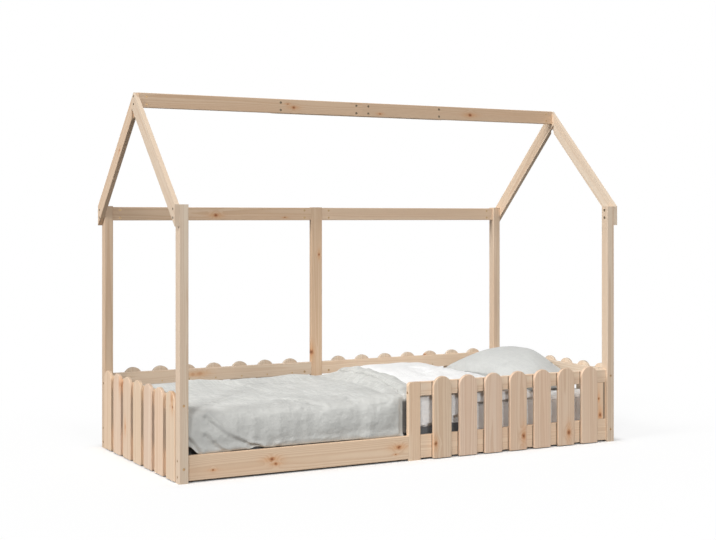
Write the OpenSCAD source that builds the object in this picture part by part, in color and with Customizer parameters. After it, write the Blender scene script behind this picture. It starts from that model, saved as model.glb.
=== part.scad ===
// Child's floor bed with a house-shaped pine frame, a picket fence and bedding.
// X runs along the bed to the head end, Y from the open front to the back, Z up from the floor.

/* [Frame] */
// Length over the corner posts
bed_len = 2080; // [1880:10:2280]
// Width over the corner posts
bed_wid = 880; // [800:10:1080]
// Height of the corner posts
post_h = 1042; // [900:2:1200]
// Height of the top of the ridge
ridge_top = 1495; // [1400:5:1650]
// Side of the square corner posts
post_s = 38; // [34:1:48]

/* [Boards] */
// Thickness of the rails, rafters, ridge and uprights
board_t = 18; // [16:1:22]
// Width of the guard rails, top rails, rafters and uprights
rail_w = 58; // [50:1:70]
// Height of the ridge boards
ridge_w = 60; // [54:1:72]
// Height of the low rails that carry the bed base
side_w = 95; // [90:1:110]
// Rounding of the long edges of the timber
edge_r = 2.5; // [1:0.5:4]
// Gap between the floor and the low rails
side_z = 7; // [4:1:15]
// Height of the underside of the guard rails
guard_z = 262; // [240:2:320]
// Drop from the top of a post to the top of the back top rail
top_rail_drop = 4; // [2:1:10]
// Drop from the top of a post to the top of the back middle upright
upright_drop = 2; // [0.5:0.5:2.5]
// Radius of the free top corner of the fence's end upright
corner_r = 18; // [8:1:26]
// Overlap of the two rafters past the centre of the gable
lap = 20; // [16:1:26]
// Half length of the splice board behind the ridge joint
splice_half = 430; // [300:10:500]
// Distance of the splice bolts from the ridge joint and from the splice board's ends
splice_edge = 30; // [20:1:40]

/* [Fence] */
// Width of a picket
picket_w = 88; // [70:1:92]
// Thickness of a picket
picket_t = 14; // [13:1:18]
// Height of a picket to the top of its round head
picket_h = 335; // [325:1:360]
// Gap between the floor and a picket
picket_z = 4; // [2:1:8]
// Clearance between an end fence and the posts beside it
picket_clear = 1; // [0.5:0.5:4]
// Pickets in each half of a long side
side_pickets = 7; // [5:1:7]
// Pickets across an end
end_pickets = 7; // [4:1:7]

/* [Bed base] */
// Height of the ledger strips
ledger_w = 26; // [24:1:34]
// Thickness of the ledger strips
ledger_t = 18; // [16:1:22]
// Height of the underside of the ledger strips
ledger_z = 32; // [31:1:36]
// Distance from a ledger's end to the inside of the post beside it
ledger_end = 70; // [60:5:100]
// Width of a slat
slat_w = 70; // [50:2:90]
// Thickness of a slat
slat_t = 12; // [10:1:18]
// Number of slats
slats = 14; // [10:1:16]
// Clearance at each end of a slat
slat_clear = 2; // [1:1:5]

/* [Fasteners] */
// Diameter of a bolt's shank
bolt_d = 6; // [5:0.5:6.5]
// Clearance of a bolt in its hole, on the diameter
bolt_clear = 1; // [0.5:0.25:1.5]
// Diameter of a bolt's head
head_d = 10; // [9:0.5:11]
// Height of a bolt's head
head_h = 5; // [4:0.5:6]
// Depth that a bolt's head is sunk below the wood
head_sink = 0.5; // [0.25:0.25:1]
// Diameter of a barrel nut
nut_d = 10; // [9:0.5:11]
// Clearance of a barrel nut in its hole, on the diameter
nut_clear = 0.4; // [0.2:0.1:0.8]
// Distance from a rail's end to the axis of its barrel nut
nut_in = 35; // [30:1:45]
// Width across the flats of the nuts of the through bolts
hex_af = 10; // [9.5:0.5:11]
// Diameter of a dowel
dowel_d = 8; // [6:1:10]
// Depth of a dowel in each of its two boards
dowel_in = 14; // [10:1:16]
// Diameter of a wood screw's shank
screw_d = 3.5; // [3:0.5:4]
// Diameter of a wood screw's head
screw_head_d = 7; // [6:0.5:8]
// Height of a wood screw's head
screw_head_h = 2; // [1.5:0.5:3]

/* [Bedding] */
// Thickness of the mattress
mattress_t = 145; // [110:5:160]
// Clearance between the mattress and the posts
mattress_clear = 3; // [2:1:10]
// Crown of the mattress's top
mattress_crown = 3; // [1:1:6]
// Thickness of the duvet where it lies flat
duvet_t = 38; // [24:2:50]
// Rise of the duvet's puffed fold over the flat part
puff_h = 100; // [60:5:130]
// Rise of the duvet's back edge where it lies against the back
back_lift = 36; // [10:2:44]
// Height of the duvet's hem below the top of the low rail
hem_drop = 6; // [2:1:12]
// Gap between the turned-back end of the duvet and the pillow
turn_gap = 5; // [2:1:60]
// Length of the pillow along the bed
pillow_len = 365; // [300:5:380]
// Width of the pillow across the bed
pillow_wid = 650; // [500:10:700]
// Height of the pillow's top over its seam
pillow_crown = 108; // [60:2:120]

/* [Hidden] */
// Gap between a soft piece and what it lies on or beside
soft_gap = 0.3;
// Gap between the duvet's hanging edge and the rails
hem_gap = 1;
$fn = 48;

half_len = bed_len / 2;
half_wid = bed_wid / 2;
in_len = half_len - post_s;
in_wid = half_wid - post_s;
rail_x = half_len - post_s / 2;
rail_y = half_wid - post_s / 2;
half_t = board_t / 2;
stile_half = rail_w / 2;
guard_top = guard_z + rail_w;
side_top = side_z + side_w;
top_rail_z = post_h - top_rail_drop - rail_w;
slope = atan((ridge_top - post_h) / half_wid);
plumb = rail_w / cos(slope);

// Fixing heights
low_bolts = [side_z + 17.5, side_top - 17.5];
low_mid = side_z + side_w / 2;
low_dowel = low_mid + 25;
guard_bolt = guard_z + 15;
guard_mid = guard_z + rail_w / 2;
guard_dowel = guard_top - 15;
eave_bolts = [post_h - 50, post_h - 17];
ridge_bolts_z = [ridge_top - 47, ridge_top - 15];
picket_screws_z = [side_top - 20, guard_z + 13];

// Fixing depths along a bolt
head_bore = head_d + 1;
bolt_bore = bolt_d + bolt_clear;
nut_bore = nut_d + nut_clear;
seat = head_h + head_sink;
nut_len = board_t - 5;
bolt_past_nut = 8;
bore_past_bolt = 3;
socket_d = 5.8;
socket_in = 3;
hex_t = 5;
hex_bore = hex_af / cos(30) + 1;
dowel_bore = dowel_d + 0.4;
screw_bore = screw_d + 0.2;
screw_head_bore = screw_head_d + 0.4;
screw_sink = 0.2;
screw_in_picket = 10;
screw_in_ledger = 10;

// Fence spacing
side_pitch = (in_len - rail_w - picket_w / 2) / side_pickets;
end_pitch = (2 * (in_wid - picket_clear) - picket_w) / (end_pickets - 1);
filler_x = in_len - rail_w / 2;

// Bed base spacing
ledger_half = in_len - ledger_end;
ledger_y = rail_y - half_t - ledger_t / 2;
slat_z = ledger_z + ledger_w;
slat_half = rail_y - half_t - slat_clear;
slat_pitch = (2 * ledger_half + 40 - slat_w) / (slats - 1);
ledger_screws_x = [for (k = [-2:2]) k * ledger_half * 0.46];

// Bedding heights and edges
mattress_z = slat_z + slat_t + soft_gap;
mattress_top = mattress_z + mattress_t;
mattress_half_l = in_len - mattress_clear;
mattress_half_w = in_wid - mattress_clear;
cover_z = mattress_top + mattress_crown + soft_gap;
cover_in = mattress_half_w + soft_gap;
cover_out = rail_y - half_t - hem_gap;
cover_back = mattress_half_w - 4;
hem_z = side_top - hem_drop;
fold_x = -38;
pillow_x = in_len - 12 - pillow_len / 2;
turn_len = pillow_x - pillow_len / 2 - turn_gap;

END_NAMES = [for (i = [1:end_pickets]) str("end_picket_", i)];
FENCE_NAMES = [for (i = [1:side_pickets]) str("fence_picket_", i)];

// Fixings
// A fixing is [x, y, z, turn, grip, inward]: a point on the outer face of the wood, the direction of
// the bolt as a turn about Z, the wood that it passes before the rail, and the local side that the
// barrel nut's hole opens on.
function fix_x(sx, sy, z, out, grip) =
    [sx * (half_len + out), sy * rail_y, z, sx < 0 ? 0 : 180, grip, sx * sy];
function fix_y(sx, sy, z) = [sx * rail_x, sy * half_wid, z, -90 * sy, post_s, -sx * sy];
function near(list, sx, sy) = [for (f = list) if (sign(f[0]) == sx && sign(f[1]) == sy) f];

CORNERS = [for (sx = [-1, 1]) for (sy = [-1, 1]) [sx, sy]];
GUARDED = [[1, -1], [-1, 1], [1, 1]];
POST_BOLTS = concat(
    [for (c = CORNERS) for (z = low_bolts) fix_x(c[0], c[1], z, 0, post_s)],
    [for (c = GUARDED) fix_x(c[0], c[1], guard_bolt, 0, post_s)],
    [for (c = CORNERS) for (z = [low_mid, guard_mid]) fix_y(c[0], c[1], z)]
);
EAVE_BACK = [for (sx = [-1, 1]) for (z = eave_bolts) fix_x(sx, 1, z, board_t, board_t + post_s)];
EAVE_FRONT = [for (sx = [-1, 1]) for (z = eave_bolts) fix_x(sx, -1, z, board_t, board_t + post_s)];
RIDGE_BOLTS = [for (sx = [-1, 1]) for (z = ridge_bolts_z)
    [sx * (half_len + board_t), 0, z, sx < 0 ? 0 : 180, board_t, sx]];
STILE_BOLT = [[-stile_half, -rail_y, guard_bolt, 0, rail_w, 1]];
SPLICE_BOLTS = [for (sx = [-1, 1]) for (x = [splice_edge, splice_half - splice_edge])
    for (z = ridge_bolts_z) [sx * x, -half_t, z, 90, 2 * board_t, 0]];
STUDS = concat(
    [for (z = low_bolts) [0, -rail_y, z, 0]],
    [for (z = concat(low_bolts, [guard_bolt], eave_bolts)) [0, rail_y, z, 0]]
);
DOWELS = concat(
    [for (c = GUARDED) [c[0] * in_len, c[1] * rail_y, guard_dowel, 0]],
    [for (x = [-stile_half, stile_half]) [x, rail_y, guard_dowel, 0]],
    [[stile_half, -rail_y, guard_dowel, 0]],
    [for (c = CORNERS) for (z = [low_dowel, guard_dowel]) [c[0] * rail_x, c[1] * in_wid, z, 90]]
);
function side_screws(sx, sy) = [for (k = [1:side_pickets]) for (z = picket_screws_z)
    [sx * k * side_pitch, sy * (rail_y - half_t), z, 90 * sy]];
function end_screws(sx) = [for (k = [0:end_pickets - 1]) for (z = picket_screws_z)
    [sx * (rail_x - half_t), end_y(k), z, sx < 0 ? 180 : 0]];
function end_y(k) = end_pitch * ((end_pickets - 1) / 2 - k);
function filler_screws(sx, sy) = [for (z = [side_top + 40, guard_z - 40])
    [sx * filler_x, sy * (rail_y - half_t), z, 90 * sy]];

module place(f) translate([f[0], f[1], f[2]]) rotate([0, 0, f[3]]) children();
module rod(d, from, to, sides = 48) translate([from, 0, 0]) rotate([0, 90, 0])
    cylinder(d = d, h = to - from, $fn = sides);

module bolt(f, shank) {
    place(f) difference() {
        union() {
            rod(head_d, head_sink, seat);
            rod(bolt_d, seat, shank);
        }
        rod(socket_d, head_sink - 1, head_sink + socket_in, 6);
    }
}
module rail_bolt(f) bolt(f, f[4] + nut_in + bolt_past_nut);
module through_bolt(f) bolt(f, f[4] - head_sink);
module barrel_nut(f) {
    place(f) translate([f[4] + nut_in, 0, 0]) difference() {
        rotate([-90 * f[5], 0, 0]) translate([0, 0, half_t - head_sink - nut_len])
            cylinder(d = nut_d, h = nut_len);
        rod(bolt_bore, -nut_d, nut_d);
    }
}
module hex_nut(f) {
    place(f) difference() {
        rod(hex_af / cos(30), f[4] - hex_t - head_sink, f[4] - head_sink, 6);
        rod(bolt_bore, 0, f[4]);
    }
}
module bolt_cut(f) {
    place(f) {
        rod(head_bore, -1, seat);
        rod(bolt_bore, seat - 1, f[4] + nut_in + bolt_past_nut + bore_past_bolt);
    }
}
module nut_cut(f) {
    place(f) translate([f[4] + nut_in, 0, 0]) rotate([-90 * f[5], 0, 0])
        translate([0, 0, half_t - head_sink - nut_len - 0.5]) cylinder(d = nut_bore, h = board_t);
}
module rail_cuts(list) {
    for (f = list) {
        bolt_cut(f);
        nut_cut(f);
    }
}
module through_cuts(list) {
    for (f = list) place(f) {
        rod(head_bore, -1, seat);
        rod(bolt_bore, 0, f[4] + 1);
        rod(hex_bore, f[4] - hex_t - head_sink, f[4] + 1);
    }
}
function stud_sides(f) = [for (s = [-1, 1]) [0, f[1], f[2], s > 0 ? 0 : 180, stile_half, f[1] > 0 ? -s : s]];
stud_half = stile_half + nut_in + bolt_past_nut;
module stud(f) place(f) rod(bolt_d, -stud_half, stud_half);
module stud_cuts(sy) {
    for (f = STUDS) if (sign(f[1]) == sy) {
        place(f) rod(bolt_bore, -stud_half - bore_past_bolt, stud_half + bore_past_bolt);
        for (g = stud_sides(f)) nut_cut(g);
    }
}
module dowel(f) place(f) rod(dowel_d, -dowel_in, dowel_in);
module dowel_cuts(list) for (f = list) place(f) rod(dowel_bore, -dowel_in - 1, dowel_in + 1);
module screw(f, len) {
    place(f) {
        rod(screw_head_d, screw_sink, screw_sink + screw_head_h);
        rod(screw_d, screw_sink + screw_head_h, len);
    }
}
module screw_cuts(list, len) {
    for (f = list) place(f) {
        rod(screw_head_bore, -1, screw_sink + screw_head_h);
        rod(screw_bore, 0, len + 1);
    }
}

// Timber
module soft_rect(w, h, r = edge_r) {
    square([w - 2 * r, h], center = true);
    square([w, h - 2 * r], center = true);
    for (x = [-1, 1]) for (y = [-1, 1]) translate([x * (w / 2 - r), y * (h / 2 - r)]) circle(r, $fn = 24);
}
module board_x(x0, x1, y, z0, t, h) translate([x0, y, z0 + h / 2]) rotate([90, 0, 90])
    linear_extrude(x1 - x0) soft_rect(t, h);
module board_y(y0, y1, x, z0, t, h) translate([x, y1, z0 + h / 2]) rotate([90, 0, 0])
    linear_extrude(y1 - y0) soft_rect(t, h);
module board_z(x, y, z0, z1, w, t) translate([x, y, z0]) linear_extrude(z1 - z0) soft_rect(w, t);

module post(sx, sy) {
    color("burlywood") difference() {
        board_z(sx * rail_x, sy * rail_y, 0, post_h, post_s, post_s);
        for (f = near(POST_BOLTS, sx, sy)) bolt_cut(f);
        dowel_cuts(near(DOWELS, sx, sy));
        if (sy > 0) for (f = near(EAVE_BACK, sx, sy)) bolt_cut(f);
        else through_cuts(near(EAVE_FRONT, sx, sy));
    }
}
module upright_back() {
    color("burlywood") difference() {
        board_z(0, rail_y, 0, post_h - upright_drop, rail_w, board_t);
        stud_cuts(1);
        dowel_cuts(DOWELS);
        screw_cuts([for (f = LEDGER_SCREWS) if (f[1] > 0) f], ledger_t + screw_in_ledger);
    }
}
module upright_fence() {
    color("burlywood") difference() {
        intersection() {
            board_z(0, -rail_y, 0, guard_top, rail_w, board_t);
            translate([0, -rail_y + board_t, 0]) rotate([90, 0, 0]) linear_extrude(2 * board_t) {
                translate([-stile_half, 0]) square([rail_w, guard_top - corner_r]);
                translate([corner_r - stile_half, 0]) square([rail_w - corner_r, guard_top]);
                translate([corner_r - stile_half, guard_top - corner_r]) circle(corner_r);
            }
        }
        stud_cuts(-1);
        for (f = STILE_BOLT) bolt_cut(f);
        dowel_cuts(DOWELS);
        screw_cuts([for (f = LEDGER_SCREWS) if (f[1] < 0) f], ledger_t + screw_in_ledger);
    }
}

// A rafter is drawn as its front one, from the foot at -Y to the gable's centre, and mirrored for the
// back. Its outer half laps over the other rafter at the top, or under it.
function roof_z(y) = ridge_top - abs(y) * tan(slope);
module rafter_outline(end_y) {
    polygon([
        [-half_wid, post_h], [min(end_y, 0), roof_z(min(end_y, 0))],
        [end_y, roof_z(end_y)], [end_y, ridge_top - plumb + end_y * tan(slope)],
        [-half_wid, post_h - plumb]
    ]);
}
module rafter(sx, sy) {
    outer = sy < 0 ? lap : -lap;
    color("wheat") difference() {
        mirror([0, sy < 0 ? 0 : 1, 0]) mirror([sx < 0 ? 0 : 1, 0, 0]) translate([-half_len, 0, 0]) {
            rotate([90, 0, -90]) mirror([1, 0, 0]) translate([0, 0, half_t]) linear_extrude(half_t)
                rafter_outline(outer);
            rotate([90, 0, -90]) mirror([1, 0, 0]) linear_extrude(half_t) rafter_outline(-outer);
        }
        for (f = RIDGE_BOLTS) if (sign(f[0]) == sx) bolt_cut(f);
        if (sy > 0) for (f = near(EAVE_BACK, sx, sy)) bolt_cut(f);
        else through_cuts(near(EAVE_FRONT, sx, sy));
    }
}
module ridge(sx) {
    color("burlywood") difference() {
        board_x(sx < 0 ? -half_len : 0, sx < 0 ? 0 : half_len, 0, ridge_top - ridge_w, board_t, ridge_w);
        rail_cuts([for (f = RIDGE_BOLTS) if (sign(f[0]) == sx) f]);
        through_cuts([for (f = SPLICE_BOLTS) if (sign(f[0]) == sx) f]);
    }
}
module ridge_splice() {
    color("burlywood") difference() {
        board_x(-splice_half, splice_half, board_t, ridge_top - ridge_w, board_t, ridge_w);
        through_cuts(SPLICE_BOLTS);
    }
}

// A long rail runs from the middle upright to a corner post, in the middle of the post's width.
module half_rail(sx, sy, z, h) board_x(sx < 0 ? -in_len : stile_half, sx < 0 ? -stile_half : in_len,
    sy * rail_y, z, board_t, h);
module top_rail(sx) {
    color("burlywood") difference() {
        half_rail(sx, 1, top_rail_z, rail_w);
        rail_cuts(near(EAVE_BACK, sx, 1));
        stud_cuts(1);
    }
}
module side_rail(sx, sy) {
    color("burlywood") difference() {
        half_rail(sx, sy, side_z, side_w);
        rail_cuts([for (f = near(POST_BOLTS, sx, sy)) if (f[2] < side_top && f[3] % 180 == 0) f]);
        stud_cuts(sy);
        if (sx > 0 || sy > 0) screw_cuts([for (f = side_screws(sx, sy)) if (f[2] < side_top) f],
            board_t + screw_in_picket);
        screw_cuts([for (f = LEDGER_SCREWS) if (sign(f[0]) == sx && sign(f[1]) == sy) f],
            ledger_t + screw_in_ledger);
    }
}
module guard_rail(sx, sy) {
    color("burlywood") difference() {
        half_rail(sx, sy, guard_z, rail_w);
        rail_cuts([for (f = near(POST_BOLTS, sx, sy)) if (f[2] > guard_z && f[3] % 180 == 0) f]);
        if (sy < 0) rail_cuts(STILE_BOLT);
        stud_cuts(sy);
        dowel_cuts([for (f = DOWELS) if (sign(f[0]) == sx && sign(f[1]) == sy && f[3] == 0) f]);
        screw_cuts([for (f = side_screws(sx, sy)) if (f[2] > guard_z) f], board_t + screw_in_picket);
    }
}
function within(list, z, h) = [for (f = list) if (f[2] > z && f[2] < z + h) f];
module end_board(sx, z, h) {
    color("burlywood") difference() {
        board_y(-in_wid, in_wid, sx * rail_x, z, board_t, h);
        rail_cuts([for (f = within(POST_BOLTS, z, h)) if (sign(f[0]) == sx && f[3] % 180 != 0) f]);
        dowel_cuts([for (f = within(DOWELS, z, h)) if (sign(f[0]) == sx && f[3] == 90) f]);
        screw_cuts(within(end_screws(sx), z, h), board_t + screw_in_picket);
    }
}
module fence_fillers() {
    color("burlywood") for (c = GUARDED)
        board_z(c[0] * filler_x, c[1] * rail_y, side_top, guard_z, rail_w, board_t);
}

// Pickets
module picket() {
    head_r = picket_w / 2;
    linear_extrude(picket_h - head_r) soft_rect(picket_w, picket_t);
    translate([0, 0, picket_h - head_r]) rotate([90, 0, 0]) rotate_extrude(angle = 180, $fn = 96)
        intersection() {
            soft_rect(picket_w, picket_t);
            translate([0, -picket_t]) square([picket_w, 2 * picket_t]);
        }
}
module side_picket(k, sx, sy) {
    color("wheat") difference() {
        translate([sx * k * side_pitch, sy * (rail_y + half_t + picket_t / 2), picket_z]) picket();
        screw_cuts([for (f = side_screws(sx, sy)) if (abs(f[0] - sx * k * side_pitch) < 1) f],
            board_t + screw_in_picket);
    }
}
module end_picket(k, sx) {
    color("wheat") difference() {
        translate([sx * (rail_x + half_t + picket_t / 2), end_y(k), picket_z]) rotate([0, 0, 90]) picket();
        screw_cuts([for (f = end_screws(sx)) if (abs(f[1] - end_y(k)) < 1) f], board_t + screw_in_picket);
    }
}

// Bed base
LEDGER_SCREWS = [for (sy = [-1, 1]) for (x = ledger_screws_x)
    [x, sy * (ledger_y - ledger_t / 2), ledger_z + ledger_w / 2, 90 * sy]];
SLAT_SCREWS = [for (i = [0:slats - 1]) for (sy = [-1, 1]) [slat_x(i), sy * ledger_y]];
function slat_x(i) = (i - (slats - 1) / 2) * slat_pitch;
module slat_screw(p) {
    translate([p[0], p[1], slat_z + slat_t]) rotate([0, 90, 0]) {
        rod(screw_head_d, screw_sink, screw_sink + screw_head_h);
        rod(screw_d, screw_sink + screw_head_h, slat_t + screw_in_ledger - 2);
    }
}
module slat_screw_cut(p) {
    translate([p[0], p[1], slat_z + slat_t]) rotate([0, 90, 0]) {
        rod(screw_head_bore, -1, screw_sink + screw_head_h);
        rod(screw_bore, 0, slat_t + screw_in_ledger - 1);
    }
}
module ledger(sy) {
    color("tan") difference() {
        board_x(-ledger_half - 20, ledger_half + 20, sy * ledger_y, ledger_z, ledger_t, ledger_w);
        screw_cuts([for (f = LEDGER_SCREWS) if (sign(f[1]) == sy) f], ledger_t + screw_in_ledger);
        for (p = SLAT_SCREWS) if (sign(p[1]) == sy) slat_screw_cut(p);
    }
}
module bed_slats() {
    color("tan") difference() {
        for (i = [0:slats - 1])
            translate([slat_x(i) - slat_w / 2, -slat_half, slat_z]) cube([slat_w, 2 * slat_half, slat_t]);
        for (p = SLAT_SCREWS) slat_screw_cut(p);
    }
}

// Fasteners
module frame_bolts() color("gray") for (f = concat(POST_BOLTS, STILE_BOLT)) rail_bolt(f);
module gable_bolts() {
    color("gray") {
        for (f = concat(EAVE_BACK, RIDGE_BOLTS)) rail_bolt(f);
        for (f = EAVE_FRONT) through_bolt(f);
    }
}
module splice_bolts() color("gray") for (f = SPLICE_BOLTS) through_bolt(f);
module upright_studs() color("gray") for (f = STUDS) stud(f);
module barrel_nuts() {
    color("silver") {
        for (f = concat(POST_BOLTS, EAVE_BACK, RIDGE_BOLTS, STILE_BOLT)) barrel_nut(f);
        for (f = STUDS) for (g = stud_sides(f)) barrel_nut(g);
    }
}
module hex_nuts() color("silver") for (f = concat(EAVE_FRONT, SPLICE_BOLTS)) hex_nut(f);
module dowels() color("tan") for (f = DOWELS) dowel(f);
module picket_screws() {
    color("silver") {
        for (c = GUARDED) for (f = side_screws(c[0], c[1])) screw(f, board_t + screw_in_picket);
        for (sx = [-1, 1]) for (f = end_screws(sx)) screw(f, board_t + screw_in_picket);
    }
}
module base_screws() {
    color("silver") {
        for (f = LEDGER_SCREWS) screw(f, ledger_t + screw_in_ledger);
        for (p = SLAT_SCREWS) slat_screw(p);
    }
}

// Soft pieces
// Skins between rings of points that all have the same count, closed by a fan at each end.
function ring_faces(rings, n) = [for (i = [0:rings - 2]) for (j = [0:n - 1]) for (tri = [0, 1])
    tri == 0 ? [i * n + j, (i + 1) * n + j, i * n + (j + 1) % n]
    : [i * n + (j + 1) % n, (i + 1) * n + j, (i + 1) * n + (j + 1) % n]];

// The mattress is a stack of rounded outlines, drawn in at half height between its piped edges.
// Each ring is its share of the outline, its share of the height and its share of the crown.
mattress_rings = [
    [0.93, 0, 0], [0.992, 0, 0], [1, 0.06, 0], [0.998, 0.2, 0], [0.994, 0.5, 0], [0.998, 0.8, 0],
    [1, 0.94, 0], [0.992, 1, 0], [0.95, 1, 0.6], [0.88, 1, 0.9], [0.7, 1, 1]
];
function outline(a, grow) = [
    mattress_half_l * grow * sign(cos(a)) * pow(abs(cos(a)), 0.12),
    mattress_half_w * grow * sign(sin(a)) * pow(abs(sin(a)), 0.12)
];
module mattress() {
    n = 48;
    rows = len(mattress_rings);
    points = concat(
        [for (r = mattress_rings) for (j = [0:n - 1]) let (p = outline(j * 360 / n + 3.75, r[0]))
            [p[0], p[1], mattress_z + mattress_t * r[1] + mattress_crown * r[2]]],
        [[0, 0, mattress_z], [0, 0, mattress_top + mattress_crown]]
    );
    faces = concat(
        ring_faces(rows, n),
        [for (j = [0:n - 1]) [rows * n, j, (j + 1) % n]],
        [for (j = [0:n - 1]) [rows * n + 1, (rows - 1) * n + (j + 1) % n, (rows - 1) * n + j]]
    );
    color("whitesmoke") polyhedron(points, faces);
}

// The duvet is a lofted cover: at each station along X an outer line runs from the hem inside the low
// rail, up the front, over the shoulder and across the top, and an inner line follows the mattress.
function ease(t) = let (c = min(1, max(0, t))) c * c * (3 - 2 * c);
function puff(x) = ease((x + 215) / 255) * max(0, 1 - pow(max(0, x) / (turn_len + 80), 1.7));
function puff_across(y) = pow(max(0, 1 - pow((y + 20) / (mattress_half_w + 24), 2)), 0.85);
function ripple(x, y) = (2.5 * sin(x * 0.9 + y * 0.5) + 1.8 * sin(x * 1.7 - y * 0.8))
    * (1 - ease((y - 150) / 200)) * (1 - ease((x - turn_len + 270) / 200));
function thin(x) = (duvet_t - 16) * ease((x - turn_len + 220) / 220);
function lift(x, y) = back_lift * ease((y - 190) / 170) * (1 - ease((x + 150) / 200));
function cover_top(x, y) = cover_z + duvet_t - thin(x) + ripple(x, y) + lift(x, y)
    + puff_h * puff(x) * puff_across(y);
function bulge(x) = x > -70 ? 0 : (8 + 3 * sin(x * 1.6)) * ease((-70 - x) / 120);
// The cover's stations lean along the bed, because its turned-back edge runs slightly askew.
function skew(x, y) = x + 0.2 * (y + cover_out) * (x < fold_x ? (x + in_len) / (fold_x + in_len)
    : (turn_len - x) / (turn_len - fold_x));
cover_n = 20;
drop_n = 6;
turn_n = 4;
shoulder = 46;
function cover_outer(x, hem, drop) = [for (j = [0:cover_n - 1])
    let (
        y_in = -cover_out + shoulder,
        round_h = (cover_top(x, y_in) - cover_z + 1) * 0.9,
        z_edge = cover_top(x, y_in) - round_h,
        z_low = max(hem + 4, side_top + 2),
        drop_t = max(0, j - 1) / (drop_n - 1),
        top_t = (j - drop_n - turn_n) / (cover_n - 1 - drop_n - turn_n),
        y_top = y_in + top_t * (cover_back - 14 - y_in)
    )
    j == 0 ? [-cover_out, hem]
    : j < drop_n ? [-cover_out - drop * sin(180 * drop_t), z_low + (z_edge - z_low) * drop_t]
    : j < drop_n + turn_n ? let (a = 90 * (j - drop_n) / turn_n)
        [-cover_out + shoulder * (1 - cos(a)), z_edge + round_h * sin(a)]
    : j < cover_n - 1 ? [y_top, cover_top(skew(x, y_top), y_top)]
    : [cover_back, cover_z + (cover_top(x, cover_back) - cover_z) * 0.4]];
function cover_inner(hem) = [for (j = [0:cover_n - 1])
    j <= drop_n ? [-cover_in, hem + (cover_z - hem) * j / drop_n]
    : [-cover_in + (cover_in + cover_back - 2) * (j - drop_n) / (cover_n - 1 - drop_n), cover_z]];
function cover_station(x, hem, drop) = concat(
    [for (p = cover_outer(x, hem, drop)) [skew(x, p[0]), p[0], p[1]]],
    [for (i = [cover_n - 1:-1:0]) let (p = cover_inner(hem)[i]) [skew(x, p[0]), p[0], p[1]]]
);
module cover(xs, hems, drops) {
    n = 2 * cover_n;
    rows = len(xs);
    last = (rows - 1) * n;
    points = [for (i = [0:rows - 1]) each cover_station(xs[i], hems[i], drops[i])];
    faces = concat(
        [for (f = ring_faces(rows, n)) [f[0], f[2], f[1]]],
        [for (j = [0:cover_n - 2]) for (tri = [0, 1])
            tri == 0 ? [j + 1, j, n - 1 - j] : [n - 2 - j, j + 1, n - 1 - j]],
        [for (j = [0:cover_n - 2]) for (tri = [0, 1])
            tri == 0 ? [last + j, last + j + 1, last + n - 1 - j]
            : [last + j + 1, last + n - 2 - j, last + n - 1 - j]]
    );
    polyhedron(points, faces);
}
module duvet() {
    foot_x = -in_len + 2;
    xs = [for (i = [0:23]) foot_x + (fold_x - foot_x) * i / 23];
    color("lightgray") cover(xs, [for (x = xs) hem_z], [for (x = xs) bulge(x)]);
}
// The turned-back end hangs down a little at its hem and less and less towards the head end.
function turn_hem(x) = min(cover_z - 6, hem_z + 30 + 0.2 * (x - stile_half) + 60 * ease((x - 215) / 110));
module duvet_turnback() {
    xs = [for (i = [0:15]) fold_x + soft_gap + (turn_len - fold_x) * i / 15];
    color("white") cover(xs, [for (x = xs) turn_hem(x)], [for (x = xs) 0]);
}

// The pillow is a grid of two skins that meet at the seam; its sides are drawn in between the corners
// and its head side is propped up.
pillow_n = 17;
pillow_low = 38;
pillow_rise = 30;
function pillow_fill(u, v) = pow(max(0, 1 - u * u), 0.45) * pow(max(0, 1 - v * v), 0.72);
function pillow_seam(u) = pillow_low + pillow_rise * (u + 1) / 2;
function pillow_xy(u, v) = [
    pillow_x + pillow_len / 2 * u * (1 - 0.07 * (1 - pow(v, 4))),
    pillow_wid / 2 * v * (1 - 0.05 * (1 - pow(u, 4)))
];
module pillow() {
    n = pillow_n;
    base = cover_z;
    top = [for (i = [0:n]) for (j = [0:n]) let (u = 2 * i / n - 1, v = 2 * j / n - 1, p = pillow_xy(u, v))
        [p[0], p[1], base + pillow_seam(u) + pillow_crown * pillow_fill(u, v) + 0.5]];
    under = [for (i = [0:n]) for (j = [0:n]) let (u = 2 * i / n - 1, v = 2 * j / n - 1, p = pillow_xy(u, v))
        [p[0], p[1], base + max(0, pillow_seam(u) - 120 * pillow_fill(u, v))]];
    m = n + 1;
    faces = concat(
        [for (i = [0:n - 1]) for (j = [0:n - 1]) for (tri = [0, 1]) let (a = i * m + j)
            tri == 0 ? [a, a + m + 1, a + m] : [a, a + 1, a + m + 1]],
        [for (i = [0:n - 1]) for (j = [0:n - 1]) for (tri = [0, 1]) let (a = m * m + i * m + j)
            tri == 0 ? [a, a + m, a + m + 1] : [a, a + m + 1, a + 1]],
        [for (i = [0:n - 1]) each pillow_edge(i * m, (i + 1) * m)],
        [for (i = [0:n - 1]) each pillow_edge((i + 1) * m + n, i * m + n)],
        [for (j = [0:n - 1]) each pillow_edge(j + 1, j)],
        [for (j = [0:n - 1]) each pillow_edge(n * m + j, n * m + j + 1)]
    );
    color("gainsboro") polyhedron(concat(top, under), faces);
}
function pillow_edge(a, b) = let (m2 = (pillow_n + 1) * (pillow_n + 1)) [[a, b, m2 + b], [a, m2 + b, m2 + a]];

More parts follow.
